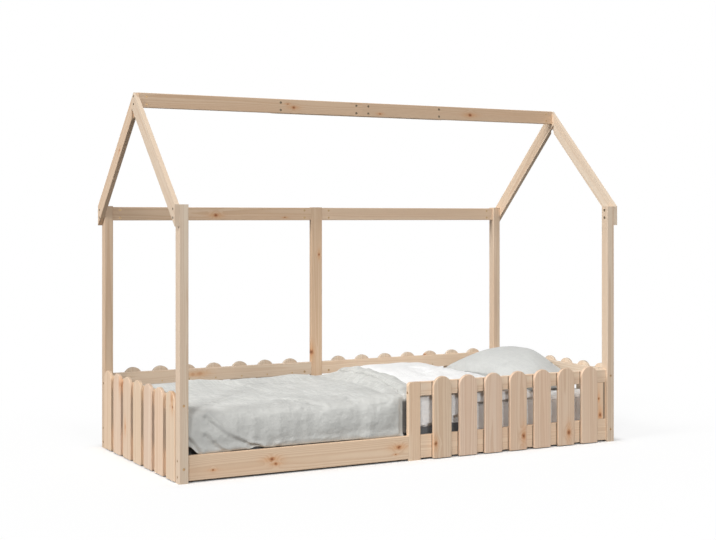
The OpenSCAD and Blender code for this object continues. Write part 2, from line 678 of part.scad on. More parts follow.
post(-1, -1);  // post_front_left
post(1, -1);  // post_front_right
post(-1, 1);  // post_back_left
post(1, 1);  // post_back_right
upright_back();
upright_fence();
rafter(-1, -1);  // rafter_front_left
rafter(-1, 1);  // rafter_back_left
rafter(1, -1);  // rafter_front_right
rafter(1, 1);  // rafter_back_right
ridge(-1);  // ridge_left
ridge(1);  // ridge_right
ridge_splice();
top_rail(-1);  // top_rail_left
top_rail(1);  // top_rail_right
side_rail(-1, -1);  // side_rail_front_left
side_rail(1, -1);  // side_rail_front_right
side_rail(-1, 1);  // side_rail_back_left
side_rail(1, 1);  // side_rail_back_right
end_board(-1, side_z, side_w);  // end_rail_left
end_board(1, side_z, side_w);  // end_rail_right
guard_rail(1, -1);  // guard_rail_front
guard_rail(-1, 1);  // guard_rail_back_left
guard_rail(1, 1);  // guard_rail_back_right
end_board(-1, guard_z, rail_w);  // guard_rail_end_left
end_board(1, guard_z, rail_w);  // guard_rail_end_right
fence_fillers();
for (i = [1:side_pickets]) side_picket(i, 1, -1);
for (i = [1:end_pickets]) end_picket(i - 1, -1);
for (i = [0:end_pickets - 1]) end_picket(i, 1);  // end_pickets_right
for (i = [1:side_pickets]) side_picket(i, -1, 1);  // back_pickets_left
for (i = [1:side_pickets]) side_picket(i, 1, 1);  // back_pickets_right
ledger(-1);  // ledger_front
ledger(1);  // ledger_back
bed_slats();
frame_bolts();
gable_bolts();
splice_bolts();
upright_studs();
barrel_nuts();
hex_nuts();
dowels();
picket_screws();
base_screws();
mattress();
duvet();
duvet_turnback();
pillow();
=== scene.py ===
import math
import random

import bmesh
import bpy
import numpy as np
from mathutils import Matrix, Vector, noise
from mathutils.bvhtree import BVHTree


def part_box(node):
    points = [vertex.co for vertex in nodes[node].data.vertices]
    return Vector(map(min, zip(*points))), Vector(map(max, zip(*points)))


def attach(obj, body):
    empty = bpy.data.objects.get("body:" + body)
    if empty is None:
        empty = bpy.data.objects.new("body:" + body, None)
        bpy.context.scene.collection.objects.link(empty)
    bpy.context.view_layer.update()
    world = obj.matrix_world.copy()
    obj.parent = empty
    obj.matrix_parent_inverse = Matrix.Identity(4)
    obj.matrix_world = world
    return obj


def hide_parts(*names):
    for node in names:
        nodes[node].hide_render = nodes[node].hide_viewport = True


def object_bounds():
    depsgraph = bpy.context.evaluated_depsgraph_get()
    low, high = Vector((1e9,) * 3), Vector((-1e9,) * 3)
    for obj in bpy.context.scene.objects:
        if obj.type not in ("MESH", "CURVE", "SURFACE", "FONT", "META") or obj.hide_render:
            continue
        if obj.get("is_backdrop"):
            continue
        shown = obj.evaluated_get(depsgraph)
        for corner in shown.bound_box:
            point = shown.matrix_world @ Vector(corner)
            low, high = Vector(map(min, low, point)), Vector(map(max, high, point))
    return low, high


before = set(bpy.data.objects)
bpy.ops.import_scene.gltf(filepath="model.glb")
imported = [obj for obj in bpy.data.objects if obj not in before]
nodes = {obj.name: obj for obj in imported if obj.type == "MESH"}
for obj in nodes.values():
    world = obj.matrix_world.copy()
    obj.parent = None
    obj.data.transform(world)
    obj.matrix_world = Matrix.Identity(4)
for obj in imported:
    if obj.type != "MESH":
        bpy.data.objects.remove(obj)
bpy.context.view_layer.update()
allX, allY, allZ = Vector((1, 0, 0)), Vector((0, 1, 0)), Vector((0, 0, 1))
print("frame loaded,", len(nodes), "nodes")


def added(name, data):
    # a new object in the scene
    obj = bpy.data.objects.new(name, data)
    bpy.context.scene.collection.objects.link(obj)
    return obj


# camera at the photograph's angle, with upright verticals
view = {
    "place": (-2.859, -4.885, 0.9942),
    "turn": -0.46633,
    "lens": 64.80,
    "shift": (0.1092, -0.0738),
}
eye = added("eye", bpy.data.cameras.new("eye"))
eye.location = view["place"]
eye.rotation_euler = (math.pi / 2, 0, view["turn"])
eye.data.lens = view["lens"]
eye.data.shift_x, eye.data.shift_y = view["shift"]
eye.data.clip_end = 60
bpy.context.scene.camera = eye


def srgb(r, g, b):
    # a colour read as 0 to 255, made linear
    return tuple(((c / 255 + 0.055) / 1.055) ** 2.4 if c > 10 else c / 3294 for c in (r, g, b)) + (1.0,)


class Wire:
    # one output socket; sums on it add Math nodes to its material
    def __init__(self, paint, socket):
        self.paint, self.socket = paint, socket

    def __add__(self, other):
        return self.paint.maths("ADD", self, other)

    def __radd__(self, other):
        return self.paint.maths("ADD", other, self)

    def __sub__(self, other):
        return self.paint.maths("SUBTRACT", self, other)

    def __rsub__(self, other):
        return self.paint.maths("SUBTRACT", other, self)

    def __mul__(self, other):
        return self.paint.maths("MULTIPLY", self, other)

    def __rmul__(self, other):
        return self.paint.maths("MULTIPLY", other, self)

    def __truediv__(self, other):
        return self.paint.maths("DIVIDE", self, other)

    def __abs__(self):
        return self.paint.maths("ABSOLUTE", self)


class Paint:
    # a material and the nodes that are added to it
    def __init__(self, name, **constants):
        self.material = bpy.data.materials.new(name)
        self.material.use_nodes = True
        self.tree = self.material.node_tree
        self.shader = self.tree.nodes["Principled BSDF"]
        for socket, value in constants.items():
            self.shader.inputs[socket.replace("_", " ")].default_value = value

    def node(self, kind, settings=None, inputs=None, out=0):
        made = self.tree.nodes.new(kind)
        for key, value in (settings or {}).items():
            setattr(made, key, value)
        for key, value in (inputs or {}).items():
            self.feed(made.inputs[key], value)
        return Wire(self, made.outputs[out])

    def feed(self, socket, value):
        if isinstance(value, Wire):
            self.tree.links.new(value.socket, socket)
        else:
            socket.default_value = value

    def maths(self, operation, *values):
        return self.node("ShaderNodeMath", {"operation": operation}, dict(enumerate(values)))

    def vector(self, operation, *values, out=0):
        return self.node("ShaderNodeVectorMath", {"operation": operation}, dict(enumerate(values)), out)

    def noise(self, at, scale, detail=2.0, roughness=0.5):
        stretched = self.vector("MULTIPLY", at, scale) if isinstance(scale, tuple) else at
        size = 1.0 if isinstance(scale, tuple) else scale
        return self.node("ShaderNodeTexNoise", {}, {"Vector": stretched, "Scale": size, "Detail": detail,
                                                    "Roughness": roughness})

    def rise(self, value, start, end):
        # 0 before start, 1 after end, smooth between
        return self.node("ShaderNodeMapRange", {"interpolation_type": "SMOOTHSTEP"},
                         {"Value": value, "From Min": start, "From Max": end})

    def mix(self, share, a, b, blend="MIX"):
        return self.node("ShaderNodeMix", {"data_type": "RGBA", "blend_type": blend},
                         {0: share, 6: a, 7: b}, 2)

    def place(self, centre=(0, 0, 0), turn=None):
        spot = self.node("ShaderNodeTexCoord", out=3)
        if turn is None:
            return spot
        return self.node("ShaderNodeMapping", {"vector_type": "POINT"},
                         {"Vector": spot, "Location": -(turn @ Vector(centre)), "Rotation": turn.to_euler()})

    def bump(self, height, strength, distance, under=None):
        inputs = {"Height": height, "Strength": strength, "Distance": distance}
        if under is not None:
            inputs["Normal"] = under
        return self.node("ShaderNodeBump", {}, inputs)

    def finish(self, **sockets):
        for socket, value in sockets.items():
            self.feed(self.shader.inputs[socket.replace("_", " ")], value)
        return self.material


def coat(obj, material):
    # makes it the object's only material
    obj.data.materials.clear()
    obj.data.materials.append(material)


# pine: growth rings round a pith line beside each board, knots, fibres and darker end grain
# in metres: the rings' distance, how far they sway and wander, and how far they part round a knot
pineLook = {
    "early": srgb(229, 206, 182),
    "late": srgb(203, 168, 136),
    "warm": srgb(220, 189, 161),
    "knotCore": srgb(112, 70, 44),
    "knotRim": srgb(186, 122, 78),
    "knotHalo": srgb(216, 166, 122),
    "ring": 0.0042,
    "sway": 0.030,
    "wander": 0.0022,
    "part": 0.011,
    "rough": 0.56,
}


def pine(name, along, wide, centre, seed, knots=(), repeat=0.0, tone=1.0, warmth=None, joints=None):
    dice = random.Random(seed)
    look = pineLook
    paint = Paint("pine_" + name, Specular_IOR_Level=0.35)
    turn = Matrix((along, wide, along.cross(wide)))
    at = paint.place(centre, turn)
    u, v, w = [paint.node("ShaderNodeSeparateXYZ", {}, {0: at}, k) for k in range(3)]
    shifted = paint.vector("ADD", at, tuple(dice.uniform(-40, 40) for _ in range(3)))
    if repeat:
        # each board of a row has its own rings
        cell = paint.maths("FLOOR", (v + repeat / 2) / repeat)
        v = v - cell * repeat
        apart = paint.node("ShaderNodeCombineXYZ", {}, {0: cell * 3.7, 2: cell * 1.9})
        shifted = paint.vector("ADD", shifted, apart)
    pithV, pithW = dice.uniform(-0.02, 0.02), dice.choice((-1, 1)) * dice.uniform(0.025, 0.07)
    hue = (dice.uniform(0.985, 1.015), dice.uniform(0.975, 1.0), dice.uniform(0.93, 1.0))
    if warmth is not None:
        hue = (1 + warmth * 0.3, 0.99 - warmth * 0.35, 0.965 - warmth)
    sway = paint.noise(shifted, (1.6, 7.0, 7.0), 2.0) - 0.5
    fine = paint.noise(shifted, (5.0, 60.0, 60.0), 3.0) - 0.5
    acrossV = v - pithV + u * dice.uniform(-0.012, 0.012) + sway * look["sway"]
    acrossW = w - pithW + u * dice.uniform(-0.006, 0.006)
    reach = paint.maths("SQRT", acrossV * acrossV + acrossW * acrossW) + fine * look["wander"]
    near = None
    for ku, kv, size, *pale in knots:
        away = paint.vector("SUBTRACT", at, (ku, kv, 0.0))
        gap, reachAlong = [
            paint.vector("LENGTH", paint.vector("MULTIPLY", away, (share / size, 1 / size, 0.0)), out=1)
            for share in (0.8, 0.3)]
        heart = gap + (9.0 if pale else 0.0)
        streak = reachAlong if near is None else paint.maths("MINIMUM", streak, reachAlong)
        core = heart if near is None else paint.maths("MINIMUM", core, heart)
        near = gap if near is None else paint.maths("MINIMUM", near, gap)
    if near is not None:
        ragged = paint.noise(shifted, (90.0, 260.0, 260.0), 3.0) - 0.5
        near, core = near + ragged * 1.1, core + ragged * 1.1
        streak = streak + ragged * 1.3
        halo = paint.maths("EXPONENT", near * near * -0.22)
        reach = reach + halo * look["part"]
    ring = paint.maths("FRACT", reach / look["ring"])
    late = paint.rise(ring, 0.25, 0.93) * (1 - paint.rise(ring, 0.94, 1.0))
    drift = paint.rise(paint.noise(shifted, (1.1, 22.0, 22.0), 3.0), 0.35, 0.72)
    fibre = paint.noise(shifted, (22.0, 900.0, 900.0), 2.0)
    pores = paint.rise(paint.noise(shifted, (9.0, 420.0, 420.0), 2.0), 0.62, 0.75)
    colour = paint.mix(late * 0.5, look["early"], look["late"])
    colour = paint.mix(drift * 0.55, colour, look["warm"])
    colour = paint.mix(pores * 0.18, colour, look["late"])
    if near is not None:
        colour = paint.mix(paint.maths("EXPONENT", streak * streak * -0.4) * 0.75, colour, look["knotHalo"])
        rim = (1 - paint.rise(near, 0.3, 1.5)) * 0.4 + (1 - paint.rise(core, 0.45, 1.5)) * 0.45
        colour = paint.mix(rim, colour, look["knotRim"])
        colour = paint.mix((1 - paint.rise(core, 0.15, 0.75)) * 0.8, colour, look["knotCore"])
    normal = paint.node("ShaderNodeTexCoord", out=1)
    facing = abs(paint.vector("DOT_PRODUCT", normal, tuple(along), out=1))
    endGrain = paint.rise(facing, 0.75, 0.95)
    shade = tone * (1 - endGrain * 0.16) * (0.955 + fibre * 0.09)
    if joints:
        # painted shade where the pickets' eased edges meet the rail, and where the filler board meets the
        # post
        place = ((v if joints["across"] else u) - joints["first"]) / joints["step"]
        nearest = paint.maths("MAXIMUM", paint.maths("ROUND", place), 0.0)
        nearest = paint.maths("MINIMUM", nearest, joints["last"])
        off = abs(place - nearest) * joints["step"]
        front = paint.rise(w * joints["side"], joints["face"] - 0.0002, joints["face"] - 0.00005)
        wide = joints["wide"]
        shade = shade * (1 - (1 - paint.rise(off, 0.0012 * wide, 0.0042 * wide)) * front * joints["dark"])
    tint = paint.node("ShaderNodeCombineColor", {}, {k: shade * hue[k] for k in range(3)})
    colour = paint.mix(1.0, colour, tint, "MULTIPLY")
    height = fibre * 0.5 - late * 0.6 - pores * 0.5
    return paint.finish(Base_Color=colour, Roughness=look["rough"] + late * 0.08 + endGrain * 0.12,
                        Normal=paint.bump(height, 0.35, 0.0006))


# boards that differ from the rest: tone, and how much yellower. Much of it is painted light and shade: the
# back, ridge and top-rail boards and back pickets are darker and greyer as painted shade, the rail and filler
# behind the fence pickets are lighter as painted light, and the front posts and rafters are less yellow as a
# painted sheen
toneAndShade = {
    "top_rail_left": (0.84, 0.06), "top_rail_right": (0.95, 0.0),
    "ridge_left": (0.82, 0.08), "ridge_right": (0.835, 0.08),
    "rafter_front_left": (0.96, -0.08), "rafter_front_right": (1.0, -0.12),
    "rafter_back_left": (0.92, 0.02), "rafter_back_right": (1.06, -0.03),
    "post_front_left": (0.98, -0.10), "post_front_right": (0.96, -0.07),
    "post_back_left": (0.86, 0.04), "post_back_right": (0.97, -0.03),
    "upright_back": (0.83, 0.08), "upright_fence": (1.04, 0.02),
    "side_rail_front_left": (1.04, 0.03), "side_rail_front_right": (1.15, 0.0),
    "guard_rail_back_left": (0.81, -0.08), "guard_rail_back_right": (0.92, -0.04),
    "guard_rail_front": (1.02, -0.04), "guard_rail_end_right": (1.0, -0.12),
    "back_pickets_left": (0.76, -0.12), "back_pickets_right": (0.90, -0.14),
    "end_pickets_right": (1.0, -0.12), "fence_fillers": (1.16, 0.03),
}


def board(name, along, wide, seed, knots=None, repeat=0.0, tone=1.0, joints=None):
    low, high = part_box(name)
    centre = (low + high) / 2
    dice = random.Random(seed * 7 + 1)
    spots = list(knots or ())
    if knots is None:
        turn = Matrix((along, wide, along.cross(wide)))
        size = [abs(c) for c in turn @ (high - low)]
        count = dice.choice((0, 0, 1)) if size[0] < 0.5 else dice.choice((0, 1, 1))
        if repeat:
            count = int(size[1] / repeat)
        for _ in range(count):
            spots.append((dice.uniform(-0.46, 0.46) * size[0], dice.uniform(-0.40, 0.40) * size[1],
                          dice.uniform(0.003, 0.006)))
    own, warmth = toneAndShade.get(name, (1.0, None))
    coat(nodes[name], pine(name, along, wide, centre, seed, spots, repeat, tone * own, warmth, joints))


# knots that the photograph shows: place along and across each board from its centre, radius,
# and a fourth number where a knot is pale
seen = {
    "side_rail_front_left": [(-0.135, 0.006, 0.009), (-0.118, -0.013, 0.006), (0.440, 0.006, 0.009),
                             (0.425, -0.022, 0.003), (-0.383, -0.014, 0.004)],
    "fence_picket_1": [(-0.108, -0.034, 0.008)],
    "fence_picket_4": [(-0.110, 0.026, 0.010)],
    "fence_picket_6": [(-0.113, 0.012, 0.010)],
    "upright_back": [(-0.154, -0.026, 0.009), (0.30, 0.012, 0.005)],
    "fence_fillers": [(0.010, 0.962, 0.005), (-0.062, 0.969, 0.009)],
    "guard_rail_back_left": [(-0.077, 0.005, 0.010, 1), (-0.11, 0.004, 0.008, 1)],
    "ridge_left": [(0.182, -0.004, 0.006), (0.154, 0.010, 0.003)],
    "ridge_right": [(-0.430, -0.016, 0.004), (0.050, -0.004, 0.008)],
    "top_rail_left": [(0.002, -0.006, 0.008), (0.349, -0.016, 0.003)],
    "end_picket_2": [(0.128, -0.036, 0.009, 1)],
    "end_picket_3": [(-0.040, 0.016, 0.008, 1)],
    "end_picket_7": [(0.140, -0.020, 0.010, 1), (0.110, -0.026, 0.006)],
    "rafter_back_left": [(0.06, 0.0, 0.004)],
}
bare = ("top_rail_right", "rafter_front_left", "rafter_front_right", "rafter_back_right", "post_front_left",
        "post_back_left", "post_back_right", "end_picket_1", "end_picket_4", "end_picket_5", "end_picket_6",
        "fence_picket_3", "fence_picket_5", "fence_picket_7", "guard_rail_front", "upright_fence")
seen.update({name: () for name in bare})
# distances from board to board in the rows, and where the fence's first picket begins along the bed
pitch = {"side": 0.12857, "end": 0.119, "slat": 0.14108}
firstPicket = 0.0846
alongX = [n for n in nodes
          if n.startswith(("ridge", "top_rail", "side_rail", "guard_rail_f", "guard_rail_b", "ledger"))]
alongY = [n for n in nodes if n.startswith(("end_rail", "guard_rail_end"))]
uprights = [n for n in nodes if n.startswith(("post", "upright", "fence_picket"))]
ends = [n for n in nodes if n.startswith("end_picket_")]
toneDice = random.Random(5)
for count, name in enumerate(sorted(alongX)):
    middle = sum(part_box(name), Vector()).x / 2
    joints = None
    # painted shade beside the pickets' left edges on the rails behind them
    if name in ("side_rail_front_right", "guard_rail_front"):
        joints = {"across": False, "first": firstPicket - middle, "step": pitch["side"], "last": 6, "side": 1,
                  "face": 0.009, "dark": 0.72, "wide": 1.0}
    board(name, allX, allZ, 100 + count, seen.get(name), tone=toneDice.uniform(0.96, 1.03), joints=joints)
for count, name in enumerate(sorted(alongY)):
    board(name, allY, allZ, 200 + count, seen.get(name), tone=toneDice.uniform(0.96, 1.03))
for count, name in enumerate(sorted(uprights)):
    board(name, allZ, allX, 300 + count, seen.get(name), tone=toneDice.uniform(0.96, 1.03))
for count, name in enumerate(sorted(ends)):
    board(name, allZ, allY, 400 + count, seen.get(name), tone=toneDice.uniform(0.98, 1.04))
# painted shade in the gap where the filler board meets the post
board("fence_fillers", allZ, allX, 500, seen["fence_fillers"],
      joints={"across": True, "first": 0.9915, "step": 9.0, "last": 0, "side": -1, "face": 0.43, "dark": 0.75,
              "wide": 1.7})
board("back_pickets_left", allZ, allX, 501, repeat=pitch["side"])
board("back_pickets_right", allZ, allX, 502, repeat=pitch["side"])
board("end_pickets_right", allZ, allY, 503, repeat=pitch["end"])
board("bed_slats", allY, allX, 504, repeat=pitch["slat"])
# from the posts' tops to the ridge, over half the width
roofRise = 0.453 / 0.44
for count, (name, side) in enumerate((("rafter_front_left", 1), ("rafter_back_left", -1),
                                      ("rafter_front_right", 1), ("rafter_back_right", -1))):
    lie = Vector((0, side, roofRise)).normalized()
    board(name, lie, allX.cross(lie), 600 + count, seen.get(name), tone=toneDice.uniform(0.97, 1.03))
print("pine done")


# beech dowels and zinc-plated steel
def beech():
    paint = Paint("beech_dowels", Specular_IOR_Level=0.35)
    at = paint.place()
    grain = paint.noise(at, (300.0, 300.0, 300.0), 2.0)
    return paint.finish(Base_Color=paint.mix(grain, srgb(196, 156, 118), srgb(176, 132, 96)),
                        Roughness=0.5 + grain * 0.1)


def steel(name, tint):
    paint = Paint(name, Metallic=1.0)
    at = paint.place()
    cloud = paint.noise(at, 260.0, 3.0)
    scratch = paint.noise(at, (3000.0, 400.0, 400.0), 2.0)
    dull = tuple(c * 0.72 for c in tint[:3]) + (1.0,)
    return paint.finish(Base_Color=paint.mix(paint.rise(cloud, 0.35, 0.7), tint, dull),
                        Roughness=0.30 + cloud * 0.14, Normal=paint.bump(scratch, 0.15, 0.0002))


plated = {
    "bronze": (srgb(138, 124, 104), ("gable_bolts", "splice_bolts", "hex_nuts")),
    "brassed": (srgb(200, 168, 130), ("frame_bolts", "upright_studs", "barrel_nuts")),
    "yellow": (srgb(208, 178, 136), ("picket_screws", "base_screws")),
}
for key, (tint, group) in plated.items():
    finish = steel("steel_" + key, tint)
    for name in group:
        coat(nodes[name], finish)
coat(nodes["dowels"], beech())
print("hardware done")


# cotton: a plain weave with thicker threads here and there, mottled, with small creases; the covers and the
# sheet can also take painted shade
cottonLook = {
    "weave": 5200,
    "elastic": srgb(190, 190, 190),
    # the low side, fold, crest and groove colours are painted shade; hem is the grey cover's own colour
    "lowSideShade": (srgb(98, 100, 103), srgb(118, 120, 122)),
    "fold": srgb(84, 82, 78),
    "hem": srgb(205, 205, 201),
    "crestShade": srgb(120, 120, 112),
    "groove": srgb(52, 46, 42),
}


def cotton(name, colour, shade, crease, lowSideShade=False, groove=False, crestShade=0.0):
    paint = Paint(name, Sheen_Weight=0.2, Sheen_Roughness=0.4, Specular_IOR_Level=0.2)
    at = paint.place()
    x, y, z = [paint.node("ShaderNodeSeparateXYZ", {}, {0: at}, k) for k in range(3)]
    thread = cottonLook["weave"]
    weave = paint.maths("SINE", x * thread) * paint.maths("SINE", (y + z) * thread)
    threads = paint.noise(at, (28.0, 1100.0, 1100.0), 1.0) + paint.noise(at, (1100.0, 40.0, 40.0), 1.0)
    slubs = paint.noise(at, (120.0, 10.0, 10.0), 2.0) + paint.noise(at, (9.0, 110.0, 110.0), 2.0)
    cloud = paint.noise(at, 9.0, 3.0)
    small = paint.noise(at, 42.0, 4.0, 0.6)
    rumple = abs(paint.noise(at, (13.0, 17.0, 17.0), 3.0, 0.55) - 0.5)
    share = (paint.rise(threads, 0.8, 1.2) * 0.2 + paint.rise(slubs, 0.78, 1.22) * 0.46
             + paint.rise(cloud, 0.3, 0.75) * 0.25)
    cloth = paint.bump(weave, 0.25, 0.0002)
    soft = paint.bump(small, crease, 0.005, cloth)
    crumpled = paint.bump(rumple, crease * 0.8, 0.016, soft)
    tint = paint.mix(share, colour, shade)
    if lowSideShade:
        # the sheet ends in a wavy elastic edge, and below it the side is painted dark grey with a fine
        # mottle: painted shade for the low side that the rails keep in shadow, starting lower towards the
        # head end
        height = z + paint.noise(at, (11.0, 11.0, 0.0), 2.0) * 0.03 + paint.rise(x, 0.24, 0.34) * 0.05
        lowShadeMottle = paint.mix(paint.noise(at, (160.0, 160.0, 20.0), 1.0), *cottonLook["lowSideShade"])
        rim = paint.rise(height, 0.152, 0.158) * (1 - paint.rise(height, 0.160, 0.166))
        tint = paint.mix(paint.rise(height, 0.146, 0.152), lowShadeMottle, tint)
        tint = paint.mix(rim * 0.35, tint, cottonLook["elastic"])
    if groove:
        # painted shade: folds are darker inside, most of all the one beside the fence upright
        fold = paint.node("ShaderNodeAttribute", {"attribute_name": "fold"}, out=2)
        tint = paint.mix(fold * 0.8, tint, cottonLook["fold"])
        rolled = (1 - paint.rise(x, 0.02, 0.04)) * (1 - paint.rise(y, -0.345, -0.325))
        tint = paint.mix(rolled, tint, cottonLook["hem"])
        # painted shade: the mound's crest a little darker
        tint = paint.mix(paint.rise(x, -0.22, -0.06) * crestShade, tint, cottonLook["crestShade"])
        # painted shade: the inside of the groove beside the fence upright is coloured nearly black
        inside = paint.rise(x, -0.045, -0.038) * (1 - paint.rise(x, -0.020, -0.010))
        inside = inside * (1 - paint.rise(y, -0.393, -0.388)) * (1 - paint.rise(z, 0.236, 0.254))
        tint = paint.mix(inside * 0.86, tint, cottonLook["groove"])
    return paint.finish(Base_Color=tint, Roughness=0.86 + weave * 0.04, Normal=crumpled)


greyCotton = cotton("cotton_grey", srgb(218, 218, 214), srgb(186, 187, 183), 0.55, groove=True, crestShade=0.10)
whiteCotton = cotton("cotton_white", srgb(245, 245, 244), srgb(238, 238, 238), 0.5, groove=True)
pillowCotton = cotton("cotton_pillow", srgb(201, 202, 199), srgb(190, 191, 189), 0.4)
sheetCotton = cotton("cotton_sheet", srgb(248, 248, 247), srgb(242, 242, 242), 0.3, lowSideShade=True)


def shown(name, mesh, material):
    obj = added(name, mesh)
    coat(obj, material)
    for polygon in obj.data.polygons:
        polygon.use_smooth = True
    return obj


def meshOf(shape, name):
    mesh = bpy.data.meshes.new(name)
    shape.to_mesh(mesh)
    shape.free()
    return mesh


def nodeCopy(name):
    # a CAD node's mesh with its loose triangles merged
    shape = bmesh.new()
    shape.from_mesh(nodes[name].data)
    bmesh.ops.remove_doubles(shape, verts=shape.verts, dist=0.00002)
    return meshOf(shape, name + "Copy")


def baked(obj):
    bpy.context.view_layer.update()
    mesh = bpy.data.meshes.new_from_object(obj.evaluated_get(bpy.context.evaluated_depsgraph_get()))
    obj.modifiers.clear()
    obj.data = mesh


def points(obj):
    flat = np.zeros(len(obj.data.vertices) * 3)
    obj.data.vertices.foreach_get("co", flat)
    return flat.reshape(-1, 3)


def setPoints(obj, where):
    obj.data.vertices.foreach_set("co", where.ravel())
    obj.data.update()


def remesh(obj, size):
    step = obj.modifiers.new("even", "REMESH")
    step.mode = "VOXEL"
    step.voxel_size = size
    baked(obj)


def rounded(obj):
    smooth = obj.modifiers.new("smooth", "SUBSURF")
    smooth.levels = smooth.render_levels = 1


def puff(obj, how, hold):
    # blown up a little as cloth, no point moving further than its cap, then kept inside hold
    rest = points(obj)
    cloth = obj.modifiers.new("cloth", "CLOTH")
    setup = cloth.settings
    setup.quality = 5
    setup.mass = 0.3
    setup.tension_stiffness = setup.compression_stiffness = how["stiff"]
    setup.shear_stiffness = how["stiff"] / 3
    setup.bending_stiffness = how["bend"]
    setup.use_pressure = True
    setup.uniform_pressure_force = how["pressure"]
    setup.shrink_min = how["slack"]
    setup.effector_weights.gravity = 0
    cloth.collision_settings.use_collision = False
    cloth.collision_settings.use_self_collision = False
    cloth.point_cache.frame_start, cloth.point_cache.frame_end = 1, 30
    scene = bpy.context.scene
    for step in range(1, how["frames"] + 1):
        scene.frame_set(step)
    after = obj.evaluated_get(bpy.context.evaluated_depsgraph_get())
    flat = np.zeros(len(rest) * 3)
    after.data.vertices.foreach_get("co", flat)
    moved = flat.reshape(-1, 3) - rest
    scene.frame_set(1)
    obj.modifiers.remove(cloth)
    far = np.linalg.norm(moved, axis=1)
    print("  ", obj.name, len(rest), "points, furthest", round(float(far.max()) * 1000, 1), "mm")
    far = np.maximum(far, 1e-9)
    rest = rest + moved * (np.tanh(far / how["cap"]) * how["cap"] / far)[:, None]
    setPoints(obj, hold(rest, points(obj)))


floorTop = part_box("bed_slats")[1].z
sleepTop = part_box("mattress")[1].z
# the inner face of the duvet's hanging side, and how near its outer face may come to the rail
duvetIn, railIn = -0.3993, -0.4115


def ease(t):
    t = np.clip(t, 0.0, 1.0)
    return t * t * (3 - 2 * t)


moundForm = {
    "x": [-0.25, -0.17, -0.10, -0.05, 0.0, 0.05, 0.10, 0.16, 0.24, 0.34, 0.45, 0.62],
    "high": [0.0, 0.006, 0.014, 0.035, 0.061, 0.070, 0.072, 0.073, 0.073, 0.069, 0.051, 0.026],
    "y": [-0.40, -0.33, -0.25, -0.15, -0.05, 0.05, 0.15, 0.25, 0.33, 0.392],
    "share": [0.264, 0.519, 0.757, 1.034, 0.998, 0.898, 0.87, 0.68, 0.371, -0.044],
    "edgeX": [-0.17, -0.11, -0.05, 0.0, 0.04],
    "edgeShare": [1, 0.75, 0.3, 0.25, 0],
    "skew": 0.31,
    "skewTo": 0.26,
}


def mound(x, y, settled):
    # height of the duvet over its flat part; settled is how it lies in the photograph
    edge = 0.036 * ease((y - 0.19) / 0.17)
    if settled:
        skewed = x - moundForm["skew"] * np.clip(y, 0, moundForm["skewTo"])
        high = sum(np.interp(skewed + d, moundForm["x"], moundForm["high"]) for d in (-0.022, 0, 0.022)) / 3
        share = sum(np.interp(y + d, moundForm["y"], moundForm["share"]) for d in (-0.02, 0, 0.02)) / 3
        return high * share + edge * np.interp(x, moundForm["edgeX"], moundForm["edgeShare"])
    across = np.maximum(0, 1 - ((y + 0.02) / 0.423) ** 2) ** 0.85
    fade = np.maximum(0, 1 - (np.maximum(0, x) / 0.7) ** 1.7)
    return 0.1 * ease((x + 0.215) / 0.255) * fade * across + edge * (1 - ease((x + 0.15) / 0.2))


def wander(where, scale, offset):
    return np.array([noise.noise(Vector((x * scale[0] + offset, y * scale[1] + offset, z * scale[2])))
                     for x, y, z in where])


def ridges(where, scale, offset, sharp=0.16):
    # thin raised lines where the noise crosses zero
    return np.exp(-(wander(where, scale, offset) / sharp) ** 2)


def lineGap(where, line):
    # distance of each point to a line of points, and whether it lies above it
    best, above = np.full(len(where), 9.0), np.zeros(len(where))
    for start, end in zip(line, line[1:]):
        start, end = np.array(start), np.array(end)
        run = end - start
        share = np.clip((where - start) @ run / (run @ run), 0, 1)
        gap = where - start - share[:, None] * run
        far = np.linalg.norm(gap, axis=1)
        closer = far < best
        best = np.where(closer, far, best)
        above = np.where(closer, gap[:, 2] + gap[:, 0] * 0.6, above)
    return best, above


def normals(obj):
    flat = np.zeros(len(obj.data.vertices) * 3)
    obj.data.vertices.foreach_get("normal", flat)
    return flat.reshape(-1, 3)


# the low rail's top, the fence's end, the fold, and how far the covers may reach
coverRoom = {
    "railTop": 0.1036, "fence": -0.062, "fold": -0.04, "front": -0.4265, "back": 0.4112, "foot": -1.0014,
}


def holdCover(where, before):
    where = where.copy()
    top = before[:, 2] >= sleepTop - 0.0006
    where[top, 2] = np.maximum(where[top, 2], sleepTop + 0.0002)
    hang = before[:, 1] <= duvetIn + 0.0012
    where[hang, 1] = np.minimum(where[hang, 1], duvetIn - 0.0002)
    tight = (where[:, 2] < coverRoom["railTop"]) | (where[:, 0] > coverRoom["fence"])
    inward = np.where(where[tight, 0] > coverRoom["fold"], 0.003, 0)
    where[tight, 1] = np.maximum(where[tight, 1], railIn + inward)
    where[:, 1] = np.clip(where[:, 1], coverRoom["front"], coverRoom["back"])
    where[:, 0] = np.maximum(where[:, 0], coverRoom["foot"])
    return where


